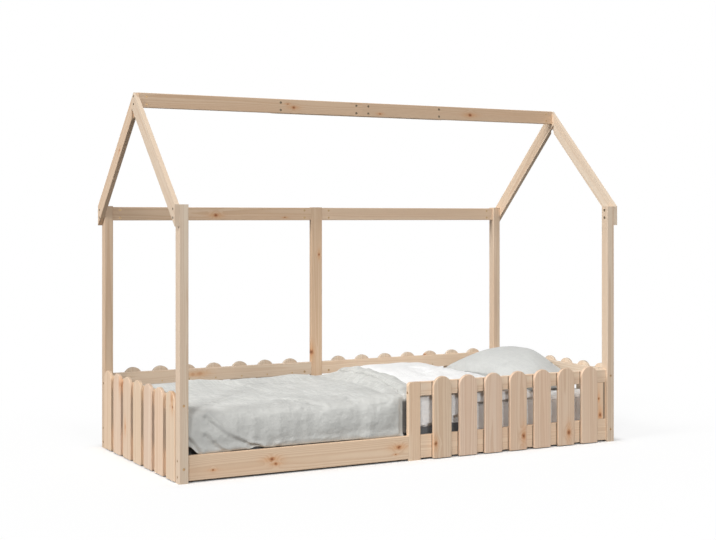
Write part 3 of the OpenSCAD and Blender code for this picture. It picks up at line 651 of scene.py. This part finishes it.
# creases that the photograph shows on the grey side: their points, depth, width and lip
creases = [
    ([(-0.918, -0.408, 0.235), (-0.892, -0.414, 0.208), (-0.857, -0.420, 0.179), (-0.789, -0.418, 0.143),
      (-0.718, -0.412, 0.108), (-0.684, -0.411, 0.096)], 0.014, 0.008, 0.008),
    ([(-0.926, -0.417, 0.169), (-0.906, -0.418, 0.149), (-0.880, -0.416, 0.124), (-0.845, -0.411, 0.101)],
     0.008, 0.010, 0.005),
    ([(-1.0, -0.415, 0.145), (-0.986, -0.415, 0.132), (-0.956, -0.412, 0.108)], 0.010, 0.012, 0.004),
    ([(-0.560, -0.270, 0.262), (-0.475, -0.327, 0.259), (-0.406, -0.386, 0.252)], 0.003, 0.014, 0.002),
    ([(-0.040, 0.36, 0.258), (0.0, 0.335, 0.264), (0.030, 0.30, 0.282)], 0.014, 0.012, 0.004),
    ([(-0.52, 0.220, 0.258), (-0.488, 0.089, 0.255), (-0.496, -0.063, 0.253)], 0.004, 0.026, 0.003),
    ([(-0.067, 0.02, 0.290), (-0.074, -0.133, 0.291), (-0.083, -0.231, 0.282), (-0.094, -0.34, 0.268)],
     0.005, 0.024, 0.003),
    ([(-0.030, -0.233, 0.304), (-0.034, -0.290, 0.291), (-0.037, -0.333, 0.284), (-0.036, -0.371, 0.272),
      (-0.026, -0.395, 0.258)], 0.009, 0.007, 0.0),
]


# where the hanging edge lifts and the back corner sags along the bed, and by how much
hangForm = {
    "top": 0.19, "postX": -0.945, "postLift": 0.034, "creaseX": -0.705, "creaseLift": 0.007,
    "sagX": -0.79, "sag": 0.012,
}


def drape(obj, grey):
    # settle the mound, then wrinkle the outer side only
    where, out = points(obj), normals(obj)
    x, y, z = where.T
    before = mound(x, y, False)
    share = np.clip((z - sleepTop - 0.0003) / (0.038 + before), 0, 1)
    where[:, 2] += share * (mound(x, y, True) - before)
    top = ease(share * 1.6 - 0.4) * np.clip(out[:, 2] * 1.5, 0, 1)
    side = np.clip(-out[:, 1] * 1.4 - 0.2, 0, 1) * (z < 0.30) * (y < duvetIn - 0.006)
    long = (ridges(where, (2.6, 8.0, 6.0), 11.3, 0.2) * 0.0034
            + ridges(where, (6.0, 15.0, 9.0), 5.7, 0.2) * 0.0016)
    small = (wander(where, (15.0, 19.0, 19.0), 2.2) * 0.0028
             + wander(where, (34.0, 40.0, 40.0), 8.1) * 0.0013)
    down = (ridges(where, (9.0, 5.0, 3.4), 3.1, 0.22) * 0.0026
            + wander(where, (24.0, 6.0, 8.0), 6.6) * 0.0022)
    push = top * (long + small) + side * (down + small * 0.5 - 0.003)
    dark = np.zeros(len(where))
    if not grey:
        push *= 0.6
    else:
        for line, depth, width, lip in creases:
            gap, above = lineGap(where, line)
            # painted shade inside each crease, kept in the fold attribute
            dark = np.maximum(dark, min(1, depth / 0.012) * np.exp(-(gap / 0.0055) ** 2))
            outer = np.maximum(top, side)
            push += outer * (lip * np.exp(-((gap - width * 1.7) / width) ** 2) * (above > 0)
                             - depth * np.exp(-(gap / width) ** 2))
    where += out * push[:, None]
    obj.data.attributes.new("fold", "FLOAT", "POINT").data.foreach_set("value", dark)
    # the hanging edge lifts off the rail near the post and by the main crease, and the back corner sags
    lift = hangForm["postLift"] * ease((hangForm["postX"] - x) / 0.045)
    lift = lift + hangForm["creaseLift"] * np.exp(-((x - hangForm["creaseX"]) / 0.030) ** 2)
    hanging = (y < -0.38) & (z < hangForm["top"])
    where[:, 2] += hanging * lift * np.clip((hangForm["top"] - z) / 0.09, 0, 1)
    sag = hangForm["sag"] * ease((y - 0.30) / 0.08)
    where[:, 2] -= sag * np.exp(-((x - hangForm["sagX"]) / 0.07) ** 2) * (z > 0.2)
    # the hang is pulled in beside the fence upright
    groove = ease((x - coverRoom["fence"]) / 0.012) * ease((-0.024 - x) / 0.006)
    groove = groove * ease((z - 0.104) / 0.012) * ease((0.262 - z) / 0.02)
    outerHang = (y < duvetIn - 0.004) & (z < 0.28)
    where[:, 1] -= outerHang * (x < -0.06) * (z > coverRoom["railTop"]) * 0.007 * ease((0.140 - z) / 0.03)
    where[:, 1] += outerHang * groove * np.maximum(0, -0.4012 - where[:, 1])
    setPoints(obj, holdCover(where, np.column_stack((x, y, z))))


# the duvet, grey up to its white part
duvetForm = {
    "voxel": 0.009, "stiff": 12.0, "bend": 0.3, "pressure": 1.6, "slack": -0.05, "cap": 0.006, "frames": 14,
}
duvet = shown("duvetGrey", nodeCopy("duvet"), greyCotton)
turned = shown("duvetWhite", nodeCopy("duvet_turnback"), whiteCotton)
for piece, node, slot in ((duvet, "duvet", "duvet_grey"), (turned, "duvet_turnback", "duvet_white")):
    remesh(piece, duvetForm["voxel"])
    puff(piece, duvetForm, holdCover)
    drape(piece, piece is duvet)
    rounded(piece)
    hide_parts(node)
    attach(piece, "duvet")
print("duvet done")

# the duvet's rolled grey hem, which lies over the start of the white part
hemForm = {
    "steps": 13, "high": 0.010, "foldX": -0.038, "skew": 0.2, "frontY": -0.411, "shoulderY": -0.34,
    "across": [0, 0.04, 0.12, 0.25, 0.5, 0.8, 0.95, 1],
    "profile": [0.1, 0.5, 0.85, 1, 0.95, 0.7, 0.4, 0.1],
}


def hemEdges(y):
    # where the band begins and ends along the bed, for each place across it
    fold = hemForm["foldX"] + hemForm["skew"] * (y - hemForm["frontY"])
    outer = np.interp(y, [-0.41, -0.30, -0.217, -0.172, -0.12, -0.056, 0.0],
                      [0.035, 0.034, 0.038, 0.031, 0.023, 0.026, 0.044])
    inner = np.interp(y, [-0.41, -0.40, -0.395, -0.333, -0.233, -0.141, 0.0],
                      [-0.041, -0.032, -0.018, -0.029, -0.021, -0.015, -0.006])
    if y > 0:
        outer, inner = fold + 0.004, fold - 0.046
    return min(inner, fold - 0.004), max(outer, fold + 0.003)


def hemBand():
    trees = [BVHTree.FromObject(piece, bpy.context.evaluated_depsgraph_get()) for piece in (duvet, turned)]
    # rays onto the covers: down from above, round the shoulder, and in at the hanging side
    shoulder, front = hemForm["shoulderY"], hemForm["frontY"]
    rays = [(y, Vector((0, y, 0.6)), -allZ) for y in np.linspace(0.385, shoulder, 62)]
    for turn in np.linspace(0, math.pi / 2, 16):
        toward = Vector((0, math.sin(turn), -math.cos(turn)))
        origin = Vector((0, shoulder, 0.225)) - toward * 0.35
        rays.append((shoulder - 0.071 * math.sin(turn), origin, toward))
    rays += [(front, Vector((0, -0.6, z)), allY) for z in np.linspace(0.218, 0.108, 12)]
    rows = []
    for y, origin, toward in rays:
        inner, outer = hemEdges(y)
        high = hemForm["high"] * float(1 - ease((-y - 0.335) / 0.06)) + 0.0016
        row = []
        for step in range(hemForm["steps"]):
            t = step / (hemForm["steps"] - 1)
            start = origin + allX * (inner + t * (outer - inner))
            hits = [tree.ray_cast(start + allX * aside, toward)
                    for aside in (0, -0.012, 0.012) for tree in trees]
            hits = [h for h in (hits[:2] if hits[0][0] or hits[1][0] else hits) if h[0] is not None]
            best = min(hits, key=lambda h: h[3]) if hits else (rows[-1][step][0] - allZ * 0.01,)
            rise = np.interp(t, hemForm["across"], hemForm["profile"])
            at = Vector((start.x, best[0].y, best[0].z))
            row.append((at, -toward, high * float(rise)))
        rows.append(row)
    shape = bmesh.new()
    grid = []
    for row in rows:
        ring = [shape.verts.new(at + out * lift) for at, out, lift in row]
        ring += [shape.verts.new(at + out * 0.0003) for at, out, lift in reversed(row)]
        grid.append(ring)
    for before, after in zip(grid, grid[1:]):
        for k in range(len(before)):
            n = (k + 1) % len(before)
            shape.faces.new((before[k], before[n], after[n], after[k]))
    shape.faces.new(grid[0][::-1])
    shape.faces.new(grid[-1])
    bmesh.ops.recalc_face_normals(shape, faces=shape.faces)
    for _ in range(2):
        bmesh.ops.smooth_vert(shape, verts=[v for ring in grid[1:-1] for v in ring[1:hemForm["steps"] - 1]],
                              factor=0.5, use_axis_x=True, use_axis_y=True, use_axis_z=True)
    return meshOf(shape, "duvetHem")


hem = shown("duvetHem", hemBand(), greyCotton)
rounded(hem)
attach(hem, "duvet")
print("hem done")


def tube(name, line, radius, material):
    # a thin closed ring through the points of a line
    curve = bpy.data.curves.new(name, "CURVE")
    curve.dimensions = "3D"
    curve.bevel_depth = radius
    curve.bevel_resolution = 2
    spline = curve.splines.new("POLY")
    spline.points.add(len(line) - 1)
    for point, at in zip(spline.points, line):
        point.co = (*at, 1)
    spline.use_cyclic_u = True
    obj = added(name, curve)
    coat(obj, material)
    return obj


# the pillow, plump in the middle with pointed corners and a seam all round
# middle is its place along the bed; room and seamRoom are how far it and its seam may reach there
pillowForm = {
    "voxel": 0.006, "stiff": 10.0, "bend": 0.3, "pressure": 3.0, "slack": -0.05, "cap": 0.006, "frames": 18,
    "middle": 0.8075, "halfX": 0.1825, "halfY": 0.325,
    "room": (0.6215, 1.0010), "seamRoom": (0.6235, 0.9990), "seam": 0.0018,
}


def holdPillow(where, before):
    where = where.copy()
    where[:, 2] = np.maximum(where[:, 2], sleepTop + 0.0004)
    where[:, 0] = np.clip(where[:, 0], *pillowForm["room"])
    return where


pillow = shown("pillowGrey", nodeCopy("pillow"), pillowCotton)
remesh(pillow, pillowForm["voxel"])
puff(pillow, pillowForm, holdPillow)
where, out = points(pillow), normals(pillow)
x, y, z = where.T.copy()
high = np.clip((z - sleepTop) / 0.1, 0, 1)
where[:, 2] -= 0.042 * high * ease((x - 0.885 - y * 0.6) / 0.2)
corner = np.hypot(np.maximum(0, np.abs(x - pillowForm["middle"]) - 0.10), np.maximum(0, np.abs(y) - 0.22))
folds = ridges(where, (16.0, 9.0, 5.0), 4.4, 0.22) * 0.003 * ease(corner / 0.10)
soft = ridges(where, (5.0, 4.0, 4.0), 7.9, 0.2) * 0.0022 + wander(where, (18.0, 18.0, 18.0), 1.7) * 0.0018
where += out * ((folds + soft) * ease((out[:, 2] + 0.2) / 0.4))[:, None]
setPoints(pillow, holdPillow(where, where))
rounded(pillow)
middle, halfX, halfY = pillowForm["middle"], pillowForm["halfX"], pillowForm["halfY"]
angles = np.arctan2(y / halfY, (x - middle) / halfX)
seam = []
for turn in np.linspace(-math.pi, math.pi, 180, endpoint=False):
    near = np.abs(np.angle(np.exp(1j * (angles - turn)))) < 0.05
    reach = np.hypot((where[near, 0] - middle) / halfX, where[near, 1] / halfY)
    seam.append(where[near][np.argsort(reach)[-4:]].mean(0))
seam = np.array(seam)
for _ in range(4):
    seam = (np.roll(seam, 1, 0) + seam * 2 + np.roll(seam, -1, 0)) / 4
seam[:, 2] = np.maximum(seam[:, 2], sleepTop + 0.0025)
seam[:, 0] = np.clip(seam[:, 0], *pillowForm["seamRoom"])
pillowSeam = tube("pillowSeam", seam, pillowForm["seam"], pillowCotton)
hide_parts("pillow")
for piece in (pillow, pillowSeam):
    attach(piece, "pillow")
print("pillow done")

# the mattress in its fitted sheet, with piping along its upper and lower edges
# halfX and halfY are its room, pipingX and pipingY the piping's
mattressForm = {
    "voxel": 0.013, "stiff": 20.0, "bend": 2.0, "pressure": 2.0, "slack": -0.01, "cap": 0.003, "frames": 10,
    "halfX": 1.0010, "halfY": 0.3990, "piping": 0.0024, "pipingX": 0.9965, "pipingY": 0.3962,
}


def holdMattress(where, before):
    where = where.copy()
    where[:, 2] = np.clip(where[:, 2], floorTop + 0.0003, sleepTop)
    where[:, 0] = np.clip(where[:, 0], -mattressForm["halfX"], mattressForm["halfX"])
    where[:, 1] = np.clip(where[:, 1], -mattressForm["halfY"], mattressForm["halfY"])
    return where


mattress = shown("mattressSheet", nodeCopy("mattress"), sheetCotton)
remesh(mattress, mattressForm["voxel"])
puff(mattress, mattressForm, holdMattress)
where, out = points(mattress), normals(mattress)
flank = 1 - np.abs(out[:, 2])
where -= out * (flank * (ridges(where, (4.0, 4.0, 10.0), 9.1, 0.2) * 0.002 + 0.0006))[:, None]
setPoints(mattress, holdMattress(where, where))
rounded(mattress)
tree = BVHTree.FromObject(mattress, bpy.context.evaluated_depsgraph_get())
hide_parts("mattress")
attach(mattress, "mattress")
endX, endY = mattressForm["pipingX"], mattressForm["pipingY"]
for name, z in (("pipingUpper", 0.2010), ("pipingLower", 0.0860)):
    line = []
    for turn in np.linspace(0, 2 * math.pi, 240, endpoint=False):
        c, s = math.cos(turn), math.sin(turn)
        start = Vector((0.90 * np.sign(c) * abs(c) ** 0.3, 0.30 * np.sign(s) * abs(s) ** 0.3, z))
        toward = Vector((c, s, 0)) if abs(start.x) > 0.88 and abs(start.y) > 0.28 else (
            Vector((np.sign(c), 0, 0)) if abs(start.x) > 0.88 else Vector((0, np.sign(s), 0)))
        hit = tree.ray_cast(start, toward)[0]
        if hit is not None:
            line.append((min(endX, max(-endX, hit.x)), min(endY, max(-endY, hit.y)), z))
    piping = tube(name, line, mattressForm["piping"], sheetCotton)
    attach(piping, "mattress")
print("mattress done")


# pale floor that keeps the bed's shadow and turns white away from it, and throws little light back
floorLook = {
    "half": 14, "bed": (1.03, 0.43, 0.0), "seen": (0.93, 0.93, 0.93, 1), "unseen": (0.10, 0.10, 0.10, 1),
}


def floorPaint():
    paint = Paint("floor_white", Roughness=0.9, Specular_IOR_Level=0.0)
    at = paint.place()
    beyond = paint.vector("SUBTRACT", paint.vector("ABSOLUTE", at), floorLook["bed"])
    beyond = paint.vector("MAXIMUM", beyond, (0.0, 0.0, 0.0))
    away = paint.vector("LENGTH", beyond, out=1)
    rays = paint.tree.nodes.new("ShaderNodeLightPath")
    seenRay = paint.maths("MAXIMUM", Wire(paint, rays.outputs["Is Camera Ray"]),
                          paint.maths("MAXIMUM", Wire(paint, rays.outputs["Is Glossy Ray"]),
                                      Wire(paint, rays.outputs["Is Transmission Ray"])))
    paint.feed(paint.shader.inputs["Base Color"], paint.mix(seenRay, floorLook["unseen"], floorLook["seen"]))
    glow = paint.node("ShaderNodeEmission", {}, {"Color": (1, 1, 1, 1), "Strength": 1.0})
    share = seenRay * (paint.rise(away, 0.0, 0.11) * 0.86 + paint.rise(away, 0.1, 1.5) * 0.14)
    both = paint.node("ShaderNodeMixShader", {}, {0: share, 1: Wire(paint, paint.shader.outputs[0]), 2: glow})
    paint.tree.links.new(both.socket, paint.tree.nodes["Material Output"].inputs[0])
    return paint.material


ground = bmesh.new()
bmesh.ops.create_grid(ground, x_segments=1, y_segments=1, size=floorLook["half"])
floor = added("floor", meshOf(ground, "floor"))
coat(floor, floorPaint())
floor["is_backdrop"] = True

# soft suns from the upper left and the front, and a weak one from behind
lamps = {
    "key": {"power": 2.20, "spread": 20, "from": (-0.84, -0.10, 0.53)},
    "second": {"power": 0.90, "spread": 9, "from": (-0.55, -0.55, 0.63)},
    "fill": {"power": 1.05, "spread": 12, "from": (0.0, -0.90, 0.42)},
    "back": {"power": 0.45, "spread": 40, "from": (0.3, 0.90, 0.20)},
}
for name, lamp in lamps.items():
    light = bpy.data.lights.new(name, "SUN")
    light.energy = lamp["power"]
    light.angle = math.radians(lamp["spread"])
    added(name, light).rotation_euler = Vector(lamp["from"]).to_track_quat("Z", "Y").to_euler()

# the camera and mirrored rays see white, and the bed gets a weak light from all round
world = bpy.data.worlds.new("studio")
bpy.context.scene.world = world
world.use_nodes = True
sky = world.node_tree
rays = sky.nodes.new("ShaderNodeLightPath")
glossy, either = [sky.nodes.new("ShaderNodeMath") for _ in range(2)]
glossy.operation = either.operation = "MAXIMUM"
blend = sky.nodes.new("ShaderNodeMixShader")
white = sky.nodes.new("ShaderNodeBackground")
white.inputs["Color"].default_value = (1, 1, 1, 1)
ambient = sky.nodes["Background"]
ambient.inputs["Color"].default_value = (1, 1, 1, 1)
ambient.inputs["Strength"].default_value = 0.30
for start, end in (
        (rays.outputs["Is Glossy Ray"], glossy.inputs[0]),
        (rays.outputs["Is Transmission Ray"], glossy.inputs[1]),
        (rays.outputs["Is Camera Ray"], either.inputs[0]), (glossy.outputs[0], either.inputs[1]),
        (either.outputs[0], blend.inputs[0]), (ambient.outputs[0], blend.inputs[1]),
        (white.outputs[0], blend.inputs[2]), (blend.outputs[0], sky.nodes["World Output"].inputs[0])):
    sky.links.new(start, end)
bpy.context.scene.view_settings.view_transform = "Standard"
print("stage done")

low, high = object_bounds()
